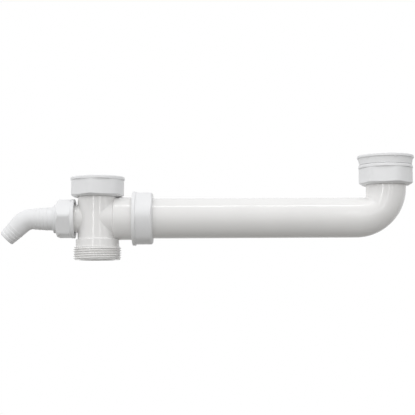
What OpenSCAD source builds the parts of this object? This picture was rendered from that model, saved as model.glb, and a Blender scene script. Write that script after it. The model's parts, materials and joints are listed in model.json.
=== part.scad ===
// Double sink waste connector: a tee under one bowl, a long swept pipe to the
// other bowl, union nuts on both inlets and a hose nozzle on the tee's side.
//
// Millimetres, +Z up, +X from the tee towards the second bowl. The pieces are
// drawn about the point where the tee's upright axis meets the pipe's axis,
// and then dropped so that the origin is the middle of the tee's inlet seal,
// the plane that the sink waste comes down on.

/* [Waste pipe] */
// Outside diameter of the swept pipe
pipe_d = 40; // [38:0.5:42]
// Wall of the swept pipe
pipe_wall = 2; // [1.4:0.1:3]
// Distance between the two inlet axes
inlet_centres = 288.6; // [180:1:400]
// Radius of the bend, measured on the pipe's axis
bend_r = 30.6; // [26:0.2:44]
// Sharpness of the bend's inside corner, higher is sharper
bend_corner = 16; // [2:1:24]
// Straight stretch of the upright leg below the far nut
leg_straight = 1.8; // [1:0.1:20]
// Bevel at the pipe's inserted end
pipe_bevel = 0.7; // [0.2:0.1:1.2]

/* [Threads] */
// Height of the 1 1/2 inch pipe thread's crest over the pipe's outside
thread_rise = 3.9; // [3.5:0.05:5]
// Depth of that thread from crest to root
thread_depth = 1.48; // [1:0.02:1.6]
// Crest diameter of the 1 inch pipe thread that carries the nozzle
side_thread_d = 33.25; // [31:0.05:34]
// Radial room between a male and a female thread
thread_fit = 0.05; // [0.03:0.01:0.15]
// Bevel that leads into a thread
thread_lead = 0.8; // [0.4:0.1:1.2]
// Radial relief behind a female thread
thread_relief = 0.3; // [0.26:0.02:0.5]

/* [Tee] */
// How far the upright tube's outside lies within the pipe's
tube_inset = 0.25; // [0.1:0.05:1]
// Wall of the upright tube
tube_wall = 2; // [1.4:0.1:3]
// How far the branch's outside lies within the tube's
branch_inset = 0.25; // [0.1:0.05:1]
// Wall of the branch up to the pipe's stop
branch_wall = 2; // [1.8:0.1:3]
// Wall of the socket around the pipe
socket_wall = 1.35; // [1.2:0.05:1.8]
// Where the socket steps out from the branch
socket_x = 17; // [14:0.5:19]
// Where the pipe's end stops in the socket
stop_x = 24; // [21:0.5:30]
// Length of the socket's threaded end
socket_thread_l = 13; // [10:0.5:16]
// Distance from the tee's axis to the socket's mouth
mouth_x = 49; // [46:0.5:60]
// Depth of the plain collar above the outlet thread, below the thread's crest
collar_step = 2.25; // [1.5:0.05:3.5]
// Height of the collar's top below the pipe's axis
collar_top = 20; // [19:0.5:24]
// Length of the collar
collar_l = 8; // [4:0.5:14]
// Length of the outlet's threaded end
outlet_thread_l = 13.2; // [10:0.2:25]
// Radial room between the pipe and the socket's bore
socket_fit = 0.08; // [0.05:0.01:0.1]

/* [Side branch] */
// Depth of the side branch's neck below its thread's crest
side_neck_step = 2.8; // [2:0.1:4]
// Wall of the side branch at its neck
side_wall = 2.8; // [1.6:0.1:4]
// Length of the side branch's neck
side_neck_l = 4.25; // [3.5:0.05:8]
// Length of the side thread
side_thread_l = 9; // [7:0.5:14]

/* [Union nuts] */
// Height of a union nut
nut_h = 19.8; // [18:0.2:26]
// Wall of a union nut at the middle of its bowed sides
nut_wall = 1.85; // [1.5:0.05:3]
// How far its soft corners stand out beyond its sides
nut_corner_out = 0.95; // [0.6:0.05:1.6]
// How far the bead around its mouth stands out beyond its corners
bead_out = 0.3; // [0.1:0.05:2]
// Height of that bead
bead_h = 3.2; // [2.6:0.1:5]
// Rounding of the bead's edges
bead_round = 1.2; // [0.4:0.1:1.25]
// Thickness of a union nut's inward rim
rim_h = 2.2; // [1.6:0.1:3]
// Height of the bevel around a union nut's foot
foot_h = 2.1; // [1:0.1:3]
// Inward reach of that bevel
foot_in = 3.3; // [1:0.1:3.6]
// Gap between the tee's union nut and what lies below it
nut_clear = 0.2; // [0.1:0.05:1]
// Radial room between a neck and the nut that turns on it
neck_fit = 0.08; // [0.05:0.01:0.1]
// Radial room between a retained flange and the nut's thread
flange_room = 0.3; // [0.2:0.05:0.8]
// Thickness of the flanges that hold the union nuts on
flange_h = 3; // [2:0.1:4]
// Play between the tee's flange and its nut
flange_play = 0.2; // [0.1:0.05:0.3]
// Turn of the tee's nut from a corner at +X
tee_nut_turn = 19.4; // [0:0.2:60]
// Turn of the far nut from a corner at +X
far_nut_turn = 49; // [0:0.2:60]

/* [Compression nut] */
// Length of the compression nut
comp_nut_l = 20.3; // [20:0.1:26]
// Wall at the middle of its bowed sides
comp_wall = 1.7; // [1.4:0.05:3]
// How far its soft corners stand out beyond its sides
comp_corner_out = 0.95; // [0.6:0.05:1.6]
// How far its flange stands out beyond its corners
comp_flange_out = 0.45; // [0.1:0.05:2]
// Thickness of its flange
comp_flange_h = 3.5; // [2:0.1:5]
// Axial length of the bevel at its pipe end
comp_bevel_l = 1.7; // [0.6:0.1:2.2]
// Inward reach of that bevel
comp_bevel_in = 2.2; // [0.6:0.1:3]
// Turn of its corners about the pipe, from straight down
comp_nut_turn = 23; // [0:0.5:60]
// Thickness of the nut's end wall
comp_end_wall = 2.5; // [2:0.1:3.5]
// Radial room between the pipe and the nut's end wall
comp_room = 0.2; // [0.1:0.05:0.5]

/* [Seals] */
// Thickness of the flat washers at the inlets
washer_h = 2; // [1.4:0.1:2.6]
// Depth of the tapered seat in the socket's mouth
seat_l = 3.5; // [2:0.1:5]
// How much the seat widens towards the socket's mouth, in radius
seat_rise = 2.12; // [1:0.02:2.4]
// Length of the tapered seal outside the socket
seal_out = 2.4; // [1.5:0.1:3]
// Radial room between the pipe and the tapered seal
seal_fit = 0.05; // [0.03:0.01:0.1]
// Thickness of the slip ring between seal and nut
slip_ring_h = 1.5; // [1:0.1:2]

/* [Nozzle nut] */
// Wall of the nozzle nut at the middle of its flats
side_nut_wall = 1.325; // [1.2:0.025:3]
// Depth by which its corners are rounded off
side_corner_cut = 0.7; // [0.2:0.1:1.5]
// How far its flange stands out beyond its flats
side_flange_out = 1.55; // [0.8:0.05:3]
// Thickness of that flange
side_flange_h = 3.6; // [2:0.1:5]
// Thickness of the nozzle nut's inward rim
side_rim_h = 2.2; // [1.4:0.1:3]
// Wall of the nozzle nut's lip
lip_wall = 2.52; // [1.2:0.02:3]
// Length of that lip
lip_l = 3.4; // [1:0.1:6]
// Room between the tee's tube and the nozzle nut's flange
side_nut_gap = 2.65; // [0.5:0.05:3.2]
// Turn of the nozzle nut's corners about its axis, from straight up
side_nut_turn = 36.7; // [0:0.1:60]
// Length of the rounded ends on the nozzle nut's corners
side_nut_bevel = 2.4; // [1:0.1:3]

/* [Hose nozzle] */
// Diameter of the nozzle's neck in its nut
nozzle_neck_d = 23.4; // [22.6:0.1:25]
// Thickness of the flange that the nut holds
nozzle_flange_h = 3; // [2:0.1:4]
// Thickness of the nozzle's flat washer
side_washer_h = 2; // [1.4:0.1:2.6]
// Length of the nozzle's level stem outside its nut
stem_l = 20.5; // [12:0.1:50]
// Angle that the nozzle turns down by
nozzle_angle = 45; // [20:1:60]
// Radius of the nozzle's bend on its axis
nozzle_bend_r = 17.6; // [14:0.2:20]
// Diameter of the nozzle at its bend
nozzle_bend_d = 19.8; // [18:0.1:21]
// Length of the nozzle from the bend's corner to its tip
nozzle_tip_l = 27.9; // [18:0.2:50]
// Diameter of the nozzle's tip
nozzle_tip_d = 16.2; // [15.6:0.1:18]
// Bore of the nozzle's stem
stem_bore_d = 16; // [13:0.2:17]
// Bore of the nozzle's tip
tip_bore_d = 12.4; // [9:0.2:12.8]
// Length over which the stem's bore narrows to the tip's
bore_taper = 6; // [3:0.5:8]
// Spacing of the hose rings on the level stem
stem_ring_gap = 7.2; // [4:0.1:12]
// Spacing of the hose rings on the sloping tip
tip_ring_gap = 6.7; // [4:0.1:12]
// Height of each ring's hooked edge
ring_step = 0.35; // [0.2:0.05:0.6]
// Bevel at the nozzle's tip
tip_bevel = 0.6; // [0.2:0.1:1]

/* [Riser ring] */
// Height of the riser ring's head above the far nut
head_h = 9.4; // [9:0.2:20]
// How far the riser ring's flange stands out beyond its head
head_flange_out = 1.1; // [0.6:0.1:4]
// Thickness of that flange
head_flange_h = 2.8; // [2:0.1:3.6]
// Wall of the head where it meets the nut
head_wall = 2.25; // [1.6:0.05:3.5]
// How much the head widens up to the flange, in radius
head_flare = 0.9; // [0.2:0.1:2]
// Thickness of the head's inner floor
head_floor_h = 1.6; // [1.2:0.1:2.4]
// Wall of the riser ring at its threaded foot
riser_wall = 4.4; // [2.6:0.1:6]
// Gap between the riser ring's head and the far nut
head_gap = 0.2; // [0.1:0.05:0.3]
// Height of each small web under the flange
web_h = 4.2; // [2:0.1:5]
// Thickness of each web
web_w = 2.2; // [1:0.1:4]
// Distance from each web's tip to the flange's edge
web_inset = 0.5; // [0.2:0.1:1.5]
// Turn of the webs from +X
web_turn = 42; // [0:1:60]

/* [Hidden] */
$fn = 96;

// Overshoot of cutting shapes, and how far a small piece sinks into a wall
cut = 1;
sink = 0.6;

// How far the nuts' bowed corners stand proud before they are rounded
nut_sides = 6;
corner_soft = 0.4;

// Fineness of rounded edges and of the pipe's bend, and the bend's lap into
// the straights, a hair inside their walls
round_steps = 4;
bend_steps = 18;
bend_sides = 40;
bend_lap = 0.5;
bend_inset = 0.01;

// Lap in degrees of the nozzle's bend into its ends, and the bend's thicker wall
bend_lap_angle = 1;
bore_step = 0.1;

// Radii that several pieces share
pipe_r = pipe_d / 2;
pipe_bore_r = pipe_r - pipe_wall;
tube_r = pipe_r - tube_inset;
tube_bore_r = tube_r - tube_wall;
branch_r = tube_r - branch_inset;
socket_bore_r = pipe_r + socket_fit;
socket_r = socket_bore_r + socket_wall;
seat_r = socket_bore_r + seat_rise;
male_r = pipe_r + thread_rise;
female_r = male_r + thread_fit;
relief_r = female_r + thread_relief;
flange_r = male_r - thread_depth - flange_room;
side_male_r = side_thread_d / 2;
side_female_r = side_male_r + thread_fit;
side_neck_r = side_male_r - side_neck_step;
side_bore_r = side_neck_r - side_wall;
side_flange_r = side_male_r - thread_depth - flange_room;
riser_bore_r = male_r - riser_wall;

// Half widths of the nuts and of the riser ring's head
nut_flat_r = female_r + nut_wall;
nut_corner_r = nut_flat_r + nut_corner_out;
comp_flat_r = female_r + comp_wall;
comp_corner_r = comp_flat_r + comp_corner_out;
comp_flange_r = comp_corner_r + comp_flange_out;
side_nut_r = side_female_r + side_nut_wall;
side_corner_r = side_nut_r / cos(180 / nut_sides) - side_corner_cut;
head_foot_r = female_r + head_wall;
head_top_r = head_foot_r + head_flare;
head_flange_r = head_top_r + head_flange_out;

// Depths below the pipe's axis at the outlet
outlet_thread_top = collar_top + collar_l;
outlet_end = outlet_thread_top + outlet_thread_l;

// Heights above the pipe's axis at the tee
tee_nut_z = max(socket_r, side_corner_r) + nut_clear;
tee_flange_z = tee_nut_z + rim_h + flange_play;
tee_face_z = tee_flange_z + flange_h;
seal_z = tee_face_z + washer_h;

// Heights above the pipe's axis at the far leg
far_nut_z = bend_r + leg_straight;
far_flange_z = far_nut_z + rim_h;
far_face_z = far_flange_z + flange_h;
riser_foot_z = far_face_z + washer_h;
head_z = far_nut_z + nut_h + head_gap;
head_floor_z = head_z + head_floor_h;
riser_seal_z = head_floor_z + washer_h;
head_top_z = head_z + head_h;

// Places along the pipe's axis, from the tee's axis
slip_ring_x = mouth_x + seal_out;
comp_end_wall_x = slip_ring_x + slip_ring_h;
comp_nut_x = comp_end_wall_x + comp_end_wall - comp_nut_l;
socket_thread_x = mouth_x - socket_thread_l;
bend_x = inlet_centres - bend_r;

// Places along the side branch, counted outwards from the tee's axis
side_thread_x = tube_r + side_neck_l;
side_end_x = side_thread_x + side_thread_l;
side_nut_x = tube_r + side_nut_gap;
nozzle_flange_x = side_end_x + side_washer_h;
side_rim_x = nozzle_flange_x + nozzle_flange_h;
side_nut_l = side_rim_x + side_rim_h - side_nut_x;
side_nut_end_x = side_nut_x + side_nut_l + lip_l;
nozzle_neck_r = nozzle_neck_d / 2;
nozzle_bend_l = nozzle_bend_r * tan(nozzle_angle / 2);
nozzle_bend_x = side_nut_end_x + stem_l;
nozzle_corner_x = nozzle_bend_x + nozzle_bend_l;
stem_rings = floor((nozzle_bend_x - side_nut_end_x - cut) / stem_ring_gap);
tip_rings = floor((nozzle_tip_l - nozzle_bend_l - cut) / tip_ring_gap);

// Points on a quarter or any other stretch of a circle
function arc(at, r, from, to) =
    [for (i = [0:round_steps]) let (a = from + (to - from) * i / round_steps)
        [at[0] + r * cos(a), at[1] + r * sin(a)]];

// Everything is drawn about the crossing of the axes and dropped to the seal
module placed() {
    translate([0, 0, -seal_z]) children();
}

// Turns a shape drawn along +Z so that it lies along +X, from the tee's axis
module along_pipe() {
    rotate([0, 90, 0]) children();
}

// The same towards the hose nozzle, along -X
module along_side() {
    rotate([0, -90, 0]) children();
}

// Stands a shape on the upright leg's axis, over the pipe's axis
module on_far_leg() {
    translate([inlet_centres, 0, 0]) children();
}

module ring(outer_r, inner_r, h) {
    difference() {
        cylinder(r = outer_r, h = h);
        translate([0, 0, -cut]) cylinder(r = inner_r, h = h + 2 * cut);
    }
}

// Prism with six bowed sides: each side is part of a large cylinder, and the
// corners stand a little proud of the round outline that later softens them
module bowed_hexagon(half_flat, corner_r, h) {
    half_corner = corner_r + corner_soft;
    middle = half_corner * cos(180 / nut_sides);
    set_back = (half_corner * half_corner - half_flat * half_flat) / (2 * (half_flat - middle));
    intersection_for (i = [0:nut_sides - 1]) {
        rotate((i + 0.5) * 360 / nut_sides) translate([-set_back, 0, -cut]) {
            cylinder(r = half_flat + set_back, h = h + 2 * cut);
        }
    }
}

// Nut that is held captive by a flange, foot at z = 0 and mouth upwards
module union_nut(neck_r, thread_from, turn) {
    foot_r = nut_corner_r - foot_in;
    bead_r = nut_corner_r + bead_out;
    mouth_r = female_r + thread_lead;
    difference() {
        union() {
            intersection() {
                rotate(turn) bowed_hexagon(nut_flat_r, nut_corner_r, nut_h);
                rotate_extrude() polygon([
                    [0, 0], [foot_r, 0], [nut_corner_r, foot_h],
                    [nut_corner_r, nut_h], [0, nut_h]]);
            }
            rotate_extrude() polygon(concat(
                [[mouth_r, nut_h]],
                arc([bead_r - bead_round, nut_h - bead_round], bead_round, 90, 0),
                arc([bead_r - bead_round, nut_h - bead_h + bead_round], bead_round, 0, -90),
                [[mouth_r, nut_h - bead_h]]));
        }
        translate([0, 0, -cut]) cylinder(r = neck_r + neck_fit, h = rim_h + 2 * cut);
        rotate_extrude() polygon([
            [0, rim_h], [relief_r, rim_h], [relief_r, thread_from], [female_r, thread_from],
            [female_r, nut_h - thread_lead], [mouth_r + cut, nut_h + cut], [0, nut_h + cut]]);
    }
}

module tee_upright() {
    collar_r = male_r - collar_step;
    rotate_extrude() polygon([
        [0, -outlet_end], [male_r - thread_depth, -outlet_end],
        [male_r, -outlet_end + thread_depth], [male_r, -outlet_thread_top - thread_lead],
        [collar_r, -outlet_thread_top], [collar_r, -collar_top - thread_lead],
        [tube_r, -collar_top], [tube_r, tee_flange_z], [flange_r, tee_flange_z],
        [flange_r, tee_face_z], [0, tee_face_z]]);
}

module tee_branch() {
    along_pipe() rotate_extrude() polygon([
        [0, 0], [branch_r, 0], [branch_r, socket_x - thread_lead],
        [socket_r, socket_x], [socket_r, socket_thread_x - thread_lead],
        [male_r, socket_thread_x], [male_r, mouth_x - thread_lead],
        [male_r - thread_lead, mouth_x], [0, mouth_x]]);
}

module tee_side() {
    along_side() rotate_extrude() polygon([
        [0, 0], [side_neck_r, 0], [side_neck_r, side_thread_x - thread_lead],
        [side_male_r, side_thread_x], [side_male_r, side_end_x - thread_lead],
        [side_male_r - thread_lead, side_end_x], [0, side_end_x]]);
}

module tee_body() {
    color("white") placed() difference() {
        union() {
            tee_upright();
            tee_branch();
            tee_side();
        }
        translate([0, 0, -outlet_end - cut]) {
            cylinder(r = tube_bore_r, h = outlet_end + tee_face_z + 2 * cut);
        }
        along_pipe() cylinder(r = branch_r - branch_wall, h = stop_x + cut);
        along_pipe() rotate_extrude() polygon([
            [0, stop_x], [socket_bore_r, stop_x], [socket_bore_r, mouth_x - seat_l],
            [seat_r, mouth_x], [seat_r, mouth_x + cut], [0, mouth_x + cut]]);
        along_side() cylinder(r = side_bore_r, h = side_end_x + cut);
    }
}

module tee_inlet_nut() {
    color("white") placed() translate([0, 0, tee_nut_z]) {
        union_nut(tube_r, seal_z - tee_nut_z, tee_nut_turn);
    }
}

module tee_inlet_washer() {
    color("dimgray") placed() translate([0, 0, tee_face_z]) {
        ring(flange_r, pipe_bore_r, washer_h);
    }
}

module compression_nut() {
    wall_at = comp_nut_l - comp_end_wall;
    edge_r = comp_corner_r - comp_bevel_in;
    mouth_r = female_r + thread_lead;
    thread_end = mouth_x - comp_nut_x;
    color("white") placed() translate([comp_nut_x, 0, 0]) along_pipe() difference() {
        union() {
            intersection() {
                rotate(comp_nut_turn) bowed_hexagon(comp_flat_r, comp_corner_r, comp_nut_l);
                rotate_extrude() polygon([
                    [0, 0], [comp_corner_r, 0], [comp_corner_r, comp_nut_l - comp_bevel_l],
                    [edge_r, comp_nut_l], [0, comp_nut_l]]);
            }
            rotate_extrude() polygon([
                [mouth_r, 0], [comp_flange_r - thread_lead, 0], [comp_flange_r, thread_lead],
                [comp_flange_r, comp_flange_h], [mouth_r, comp_flange_h]]);
        }
        rotate_extrude() polygon([
            [0, -cut], [mouth_r + cut, -cut], [female_r, thread_lead], [female_r, thread_end],
            [relief_r, thread_end], [relief_r, wall_at], [0, wall_at]]);
        cylinder(r = pipe_r + comp_room, h = comp_nut_l + cut);
    }
}

module compression_seal() {
    color("dimgray") placed() translate([mouth_x, 0, 0]) along_pipe() rotate_extrude() polygon([
        [socket_bore_r, -seat_l], [seat_r, 0], [seat_r, seal_out],
        [pipe_r + seal_fit, seal_out], [pipe_r + seal_fit, -seat_l]]);
}

module slip_ring() {
    color("whitesmoke") placed() translate([slip_ring_x, 0, 0]) along_pipe() {
        ring(female_r - flange_room, pipe_r + seal_fit, slip_ring_h);
    }
}

// Outline of the pipe at one step around the bend, as a squashed circle
function bend_ring(r, a, lap) =
    let (
        sharp = pow(pow(cos(a), bend_corner) + pow(sin(a), bend_corner), 1 / bend_corner),
        near = (bend_r - r) / sharp,
        far = bend_r + r,
        middle = (far + near) / 2,
        half = (far - near) / 2)
    [for (i = [0:bend_sides - 1]) let (t = 360 * i / bend_sides, reach = middle + half * cos(t))
        [bend_x + reach * sin(a) - (a < 45 ? lap : 0), r * sin(t),
            bend_r - reach * cos(a) + (a < 45 ? 0 : lap)]];

// Solid bend of radius r, which laps a little way into the straights
module bend(r) {
    rings = concat(
        [bend_ring(r, 0, bend_lap)],
        [for (i = [0:bend_steps]) bend_ring(r, 90 * i / bend_steps, 0)],
        [bend_ring(r, 90, bend_lap)]);
    last = len(rings) - 1;
    sides = [for (k = [0:last - 1]) for (i = [0:bend_sides - 1])
        let (
            here = k * bend_sides + i,
            next = k * bend_sides + (i + 1) % bend_sides,
            here_on = here + bend_sides,
            next_on = next + bend_sides)
        each [[here, next_on, next], [here, here_on, next_on]]];
    start = [[for (i = [0:bend_sides - 1]) i]];
    end = [[for (i = [0:bend_sides - 1]) (last + 1) * bend_sides - 1 - i]];
    polyhedron(points = [for (outline = rings) each outline], faces = concat(sides, start, end));
}

module swept_pipe() {
    color("white") placed() difference() {
        union() {
            along_pipe() rotate_extrude() polygon([
                [0, stop_x], [pipe_r - pipe_bevel, stop_x], [pipe_r, stop_x + pipe_bevel],
                [pipe_r, bend_x], [0, bend_x]]);
            bend(pipe_r - bend_inset);
            on_far_leg() translate([0, 0, bend_r]) cylinder(r = pipe_r, h = far_face_z - bend_r);
            on_far_leg() translate([0, 0, far_flange_z]) cylinder(r = flange_r, h = flange_h);
        }
        union() {
            along_pipe() translate([0, 0, stop_x - cut]) {
                cylinder(r = pipe_bore_r, h = bend_x - stop_x + cut);
            }
            bend(pipe_bore_r - bend_inset);
            on_far_leg() translate([0, 0, bend_r]) {
                cylinder(r = pipe_bore_r, h = far_face_z - bend_r + cut);
            }
        }
    }
}

module far_nut() {
    color("white") placed() on_far_leg() translate([0, 0, far_nut_z]) {
        union_nut(pipe_r, riser_foot_z - far_nut_z, far_nut_turn);
    }
}

module far_washer() {
    color("dimgray") placed() on_far_leg() translate([0, 0, far_face_z]) {
        ring(flange_r, pipe_bore_r, washer_h);
    }
}

module riser_ring() {
    mouth_r = female_r + thread_lead;
    flange_under = head_top_z - head_flange_h;
    color("white") placed() on_far_leg() difference() {
        union() {
            rotate_extrude() polygon([
                [0, riser_foot_z], [male_r - thread_lead, riser_foot_z],
                [male_r, riser_foot_z + thread_lead], [male_r, head_z], [head_foot_r, head_z],
                [head_top_r, flange_under], [head_flange_r, flange_under],
                [head_flange_r, head_top_z - thread_lead],
                [head_flange_r - thread_lead, head_top_z], [0, head_top_z]]);
            for (i = [0:nut_sides - 1]) {
                rotate(web_turn + i * 360 / nut_sides) web(flange_under);
            }
        }
        translate([0, 0, riser_foot_z - cut]) cylinder(r = riser_bore_r, h = head_top_z);
        rotate_extrude() polygon([
            [0, head_floor_z], [relief_r, head_floor_z], [relief_r, riser_seal_z],
            [female_r, riser_seal_z], [female_r, head_top_z - thread_lead],
            [mouth_r + cut, head_top_z + cut], [0, head_top_z + cut]]);
    }
}

// Small three-cornered web under the riser ring's flange, pointing along +X
module web(top_z) {
    root = head_foot_r - sink;
    tip = head_flange_r - web_inset;
    translate([0, web_w / 2, 0]) rotate([90, 0, 0]) linear_extrude(web_w) {
        polygon([[root, top_z + cut], [tip, top_z + cut], [tip, top_z], [root, top_z - web_h]]);
    }
}

module riser_washer() {
    color("dimgray") placed() on_far_leg() translate([0, 0, head_floor_z]) {
        ring(flange_r, riser_bore_r, washer_h);
    }
}

module nozzle_nut() {
    rim_at = side_nut_l - side_rim_h;
    mouth_r = side_female_r + thread_lead;
    hexagon_r = side_nut_r / cos(180 / nut_sides);
    edge_r = side_corner_r - side_nut_bevel;
    flange_edge_r = side_nut_r + side_flange_out;
    color("white") placed() along_side() translate([0, 0, side_nut_x]) difference() {
        union() {
            intersection() {
                rotate(side_nut_turn) translate([0, 0, -cut]) {
                    cylinder(r = hexagon_r, h = side_nut_l + 2 * cut, $fn = nut_sides);
                }
                rotate_extrude() polygon([
                    [0, 0], [side_corner_r, 0], [side_corner_r, side_nut_l - side_nut_bevel],
                    [edge_r, side_nut_l], [0, side_nut_l]]);
            }
            rotate_extrude() polygon([
                [mouth_r, 0], [flange_edge_r - thread_lead, 0], [flange_edge_r, thread_lead],
                [flange_edge_r, side_flange_h], [mouth_r, side_flange_h]]);
            cylinder(r = nozzle_neck_r + neck_fit + lip_wall, h = side_nut_l + lip_l);
        }
        rotate_extrude() polygon([
            [0, -cut], [mouth_r + cut, -cut], [side_female_r, thread_lead],
            [side_female_r, rim_at], [0, rim_at]]);
        cylinder(r = nozzle_neck_r + neck_fit, h = side_nut_l + lip_l + cut);
    }
}

// Points of a tapering, ringed outline from [radius, place] to [radius, place],
// where each ring has its steep side towards the start
function ringed(from, to, places) =
    let (slope = (to[0] - from[0]) / (to[1] - from[1]))
    concat(
        [from],
        [for (s = places) let (r = from[0] + slope * (s - from[1])) each [[r, s], [r + ring_step, s]]],
        [to]);

// Puts a shape drawn along +Z on the sloping tip's axis, from the bend's corner
module along_tip() {
    translate([-nozzle_corner_x, 0, 0]) rotate([0, -90 - nozzle_angle, 0]) children();
}

// Round bend between the stem and the tip, lapping a little way into both
module nozzle_bend(r) {
    translate([-nozzle_bend_x, 0, -nozzle_bend_r]) rotate([90, -90, 0]) {
        rotate(-bend_lap_angle) rotate_extrude(angle = nozzle_angle + 2 * bend_lap_angle) {
            translate([nozzle_bend_r, 0]) circle(r = r);
        }
    }
}

module hose_nozzle() {
    stem_places = [for (i = [stem_rings:-1:1]) nozzle_bend_x - i * stem_ring_gap];
    tip_places = [for (i = [tip_rings:-1:1]) nozzle_tip_l - i * tip_ring_gap];
    bend_side_r = nozzle_bend_d / 2;
    ring_r = bend_side_r + ring_step;
    tip_bore_r = tip_bore_d / 2;
    color("white") placed() difference() {
        union() {
            along_side() rotate_extrude() polygon(concat(
                [[0, nozzle_flange_x], [side_flange_r, nozzle_flange_x],
                    [side_flange_r, side_rim_x], [nozzle_neck_r, side_rim_x]],
                ringed([nozzle_neck_r, side_nut_end_x], [ring_r, nozzle_bend_x], stem_places),
                [[0, nozzle_bend_x]]));
            nozzle_bend(bend_side_r);
            along_tip() rotate_extrude() polygon(concat(
                [[0, nozzle_bend_l]],
                ringed([ring_r, nozzle_bend_l], [nozzle_tip_d / 2, nozzle_tip_l - tip_bevel],
                    tip_places),
                [[nozzle_tip_d / 2 - tip_bevel, nozzle_tip_l], [0, nozzle_tip_l]]));
        }
        union() {
            along_side() rotate_extrude() polygon([
                [0, nozzle_flange_x - cut], [stem_bore_d / 2, nozzle_flange_x - cut],
                [stem_bore_d / 2, nozzle_bend_x - bore_taper], [tip_bore_r, nozzle_bend_x],
                [0, nozzle_bend_x]]);
            nozzle_bend(tip_bore_r - bore_step);
            along_tip() translate([0, 0, nozzle_bend_l]) {
                cylinder(r = tip_bore_r, h = nozzle_tip_l - nozzle_bend_l + cut);
            }
        }
    }
}

module nozzle_washer() {
    color("dimgray") placed() along_side() translate([0, 0, side_end_x]) {
        ring(side_flange_r, side_bore_r, side_washer_h);
    }
}

tee_body();
tee_inlet_nut();
tee_inlet_washer();
compression_nut();
compression_seal();
slip_ring();
swept_pipe();
far_nut();
far_washer();
riser_ring();
riser_washer();
nozzle_nut();
hose_nozzle();
nozzle_washer();
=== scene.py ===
"""Double sink waste connector: smooth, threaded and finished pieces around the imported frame.

Lengths are millimetres until a mesh is made. Pieces are worked out about the crossing of the
tee's upright axis and the pipe's axis, and made in metres in the frame's own place.
"""
import json
import math

import bmesh
import bpy
from mathutils import Matrix, Vector

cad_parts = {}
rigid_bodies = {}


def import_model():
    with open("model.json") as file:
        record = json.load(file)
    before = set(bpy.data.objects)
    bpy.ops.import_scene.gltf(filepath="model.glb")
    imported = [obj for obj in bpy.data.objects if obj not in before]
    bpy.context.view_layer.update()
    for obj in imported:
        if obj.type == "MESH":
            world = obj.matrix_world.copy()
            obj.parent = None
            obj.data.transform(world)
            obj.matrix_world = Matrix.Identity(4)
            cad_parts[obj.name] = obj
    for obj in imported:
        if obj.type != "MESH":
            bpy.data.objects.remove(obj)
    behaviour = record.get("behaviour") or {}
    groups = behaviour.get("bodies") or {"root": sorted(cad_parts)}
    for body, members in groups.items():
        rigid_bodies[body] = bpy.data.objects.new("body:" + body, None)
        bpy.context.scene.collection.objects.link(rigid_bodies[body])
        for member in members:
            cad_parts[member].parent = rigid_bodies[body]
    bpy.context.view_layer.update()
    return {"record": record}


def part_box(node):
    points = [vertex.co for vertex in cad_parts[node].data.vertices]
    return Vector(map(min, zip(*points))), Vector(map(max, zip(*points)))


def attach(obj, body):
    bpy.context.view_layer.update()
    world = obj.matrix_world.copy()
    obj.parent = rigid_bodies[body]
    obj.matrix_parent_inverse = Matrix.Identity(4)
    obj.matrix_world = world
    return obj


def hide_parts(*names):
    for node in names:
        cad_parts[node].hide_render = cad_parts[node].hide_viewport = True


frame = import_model()

MM = 0.001
TURN = 2 * math.pi


def box_mm(node):
    """A CAD node's corners in millimetres."""
    lo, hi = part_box(node)
    return lo / MM, hi / MM


def mount_dims(name):
    """A mount's sizes, in millimetres."""
    return next(m["dims"] for m in frame["record"]["mounts"] if m["name"] == name)


# Corners of the frame's boxes
comp_lo, comp_hi = box_mm("compression_nut")
ring_lo, ring_hi = box_mm("slip_ring")
seal_lo, seal_hi = box_mm("compression_seal")
nut_lo, nut_hi = box_mm("tee_inlet_nut")
side_lo, side_hi = box_mm("nozzle_nut")
washer_lo, washer_hi = box_mm("tee_inlet_washer")
far_washer_lo, far_washer_hi = box_mm("far_washer")
riser_washer_lo, riser_washer_hi = box_mm("riser_washer")
side_washer_lo, side_washer_hi = box_mm("nozzle_washer")
pipe_lo = box_mm("swept_pipe")[0]
tee_lo = box_mm("tee_body")[0]
far_lo = box_mm("far_nut")[0]
riser_hi = box_mm("riser_ring")[1]

# The axes: the pipe's height, and the far union's place along the pipe
axis_z = (comp_lo.z + comp_hi.z) / 2
far_x = (far_washer_lo.x + far_washer_hi.x) / 2

# Driving sizes
pipe_wall = 2
tube_inset = 0.25
thread_depth = 1.48
thread_pitch = 2.309
lead = 0.8
relief = 0.3
socket_fit = 0.08
ring_fit = 0.05
neck_fit = 0.08
washer_gap = 0.02

# Radii that several pieces share
pipe_r = axis_z - pipe_lo.z
pipe_bore_r = pipe_r - pipe_wall
tube_r = pipe_r - tube_inset
branch_r = tube_r - tube_inset
tube_bore_r = tube_r - pipe_wall
branch_bore_r = branch_r - pipe_wall
socket_bore_r = pipe_r + socket_fit
seat_r = socket_bore_r + 2.12
male_r = mount_dims("trap_outlet")["r_mm"]
female_r = mount_dims("far_inlet")["r_mm"]
root_r = male_r - thread_depth
flange_r = washer_hi.x
riser_bore_r = male_r - 4.4
riser_foot_r = female_r + 2.25

# The side branch and its nozzle
side_branch_r = 13.825
side_bore_r = side_branch_r - 2.8
side_male_r = side_branch_r + 2.8
side_flange_r = 14.845
nozzle_neck_r = 11.7

# Heights over the pipe's axis
tee_nut_z = nut_lo.z - axis_z
nut_h = nut_hi.z - nut_lo.z
tee_face_z = washer_lo.z - axis_z
seal_z = washer_hi.z - axis_z
flange_h = 3
far_nut_z = far_lo.z - axis_z
far_face_z = far_washer_lo.z - axis_z
far_top_z = far_washer_hi.z - axis_z
head_top_z = riser_hi.z - axis_z
head_z = head_top_z - 9.4
head_floor_z = head_z + 1.6
head_flange_z = head_top_z - 2.8
riser_seal_z = head_floor_z + 2
outlet_end = axis_z - tee_lo.z


# Making meshes

def upright(x=0.0):
    """Places a (radius, angle, height) point about an upright axis at x."""
    return lambda r, a, s: Vector((x + r * math.cos(a), r * math.sin(a), s))


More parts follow.
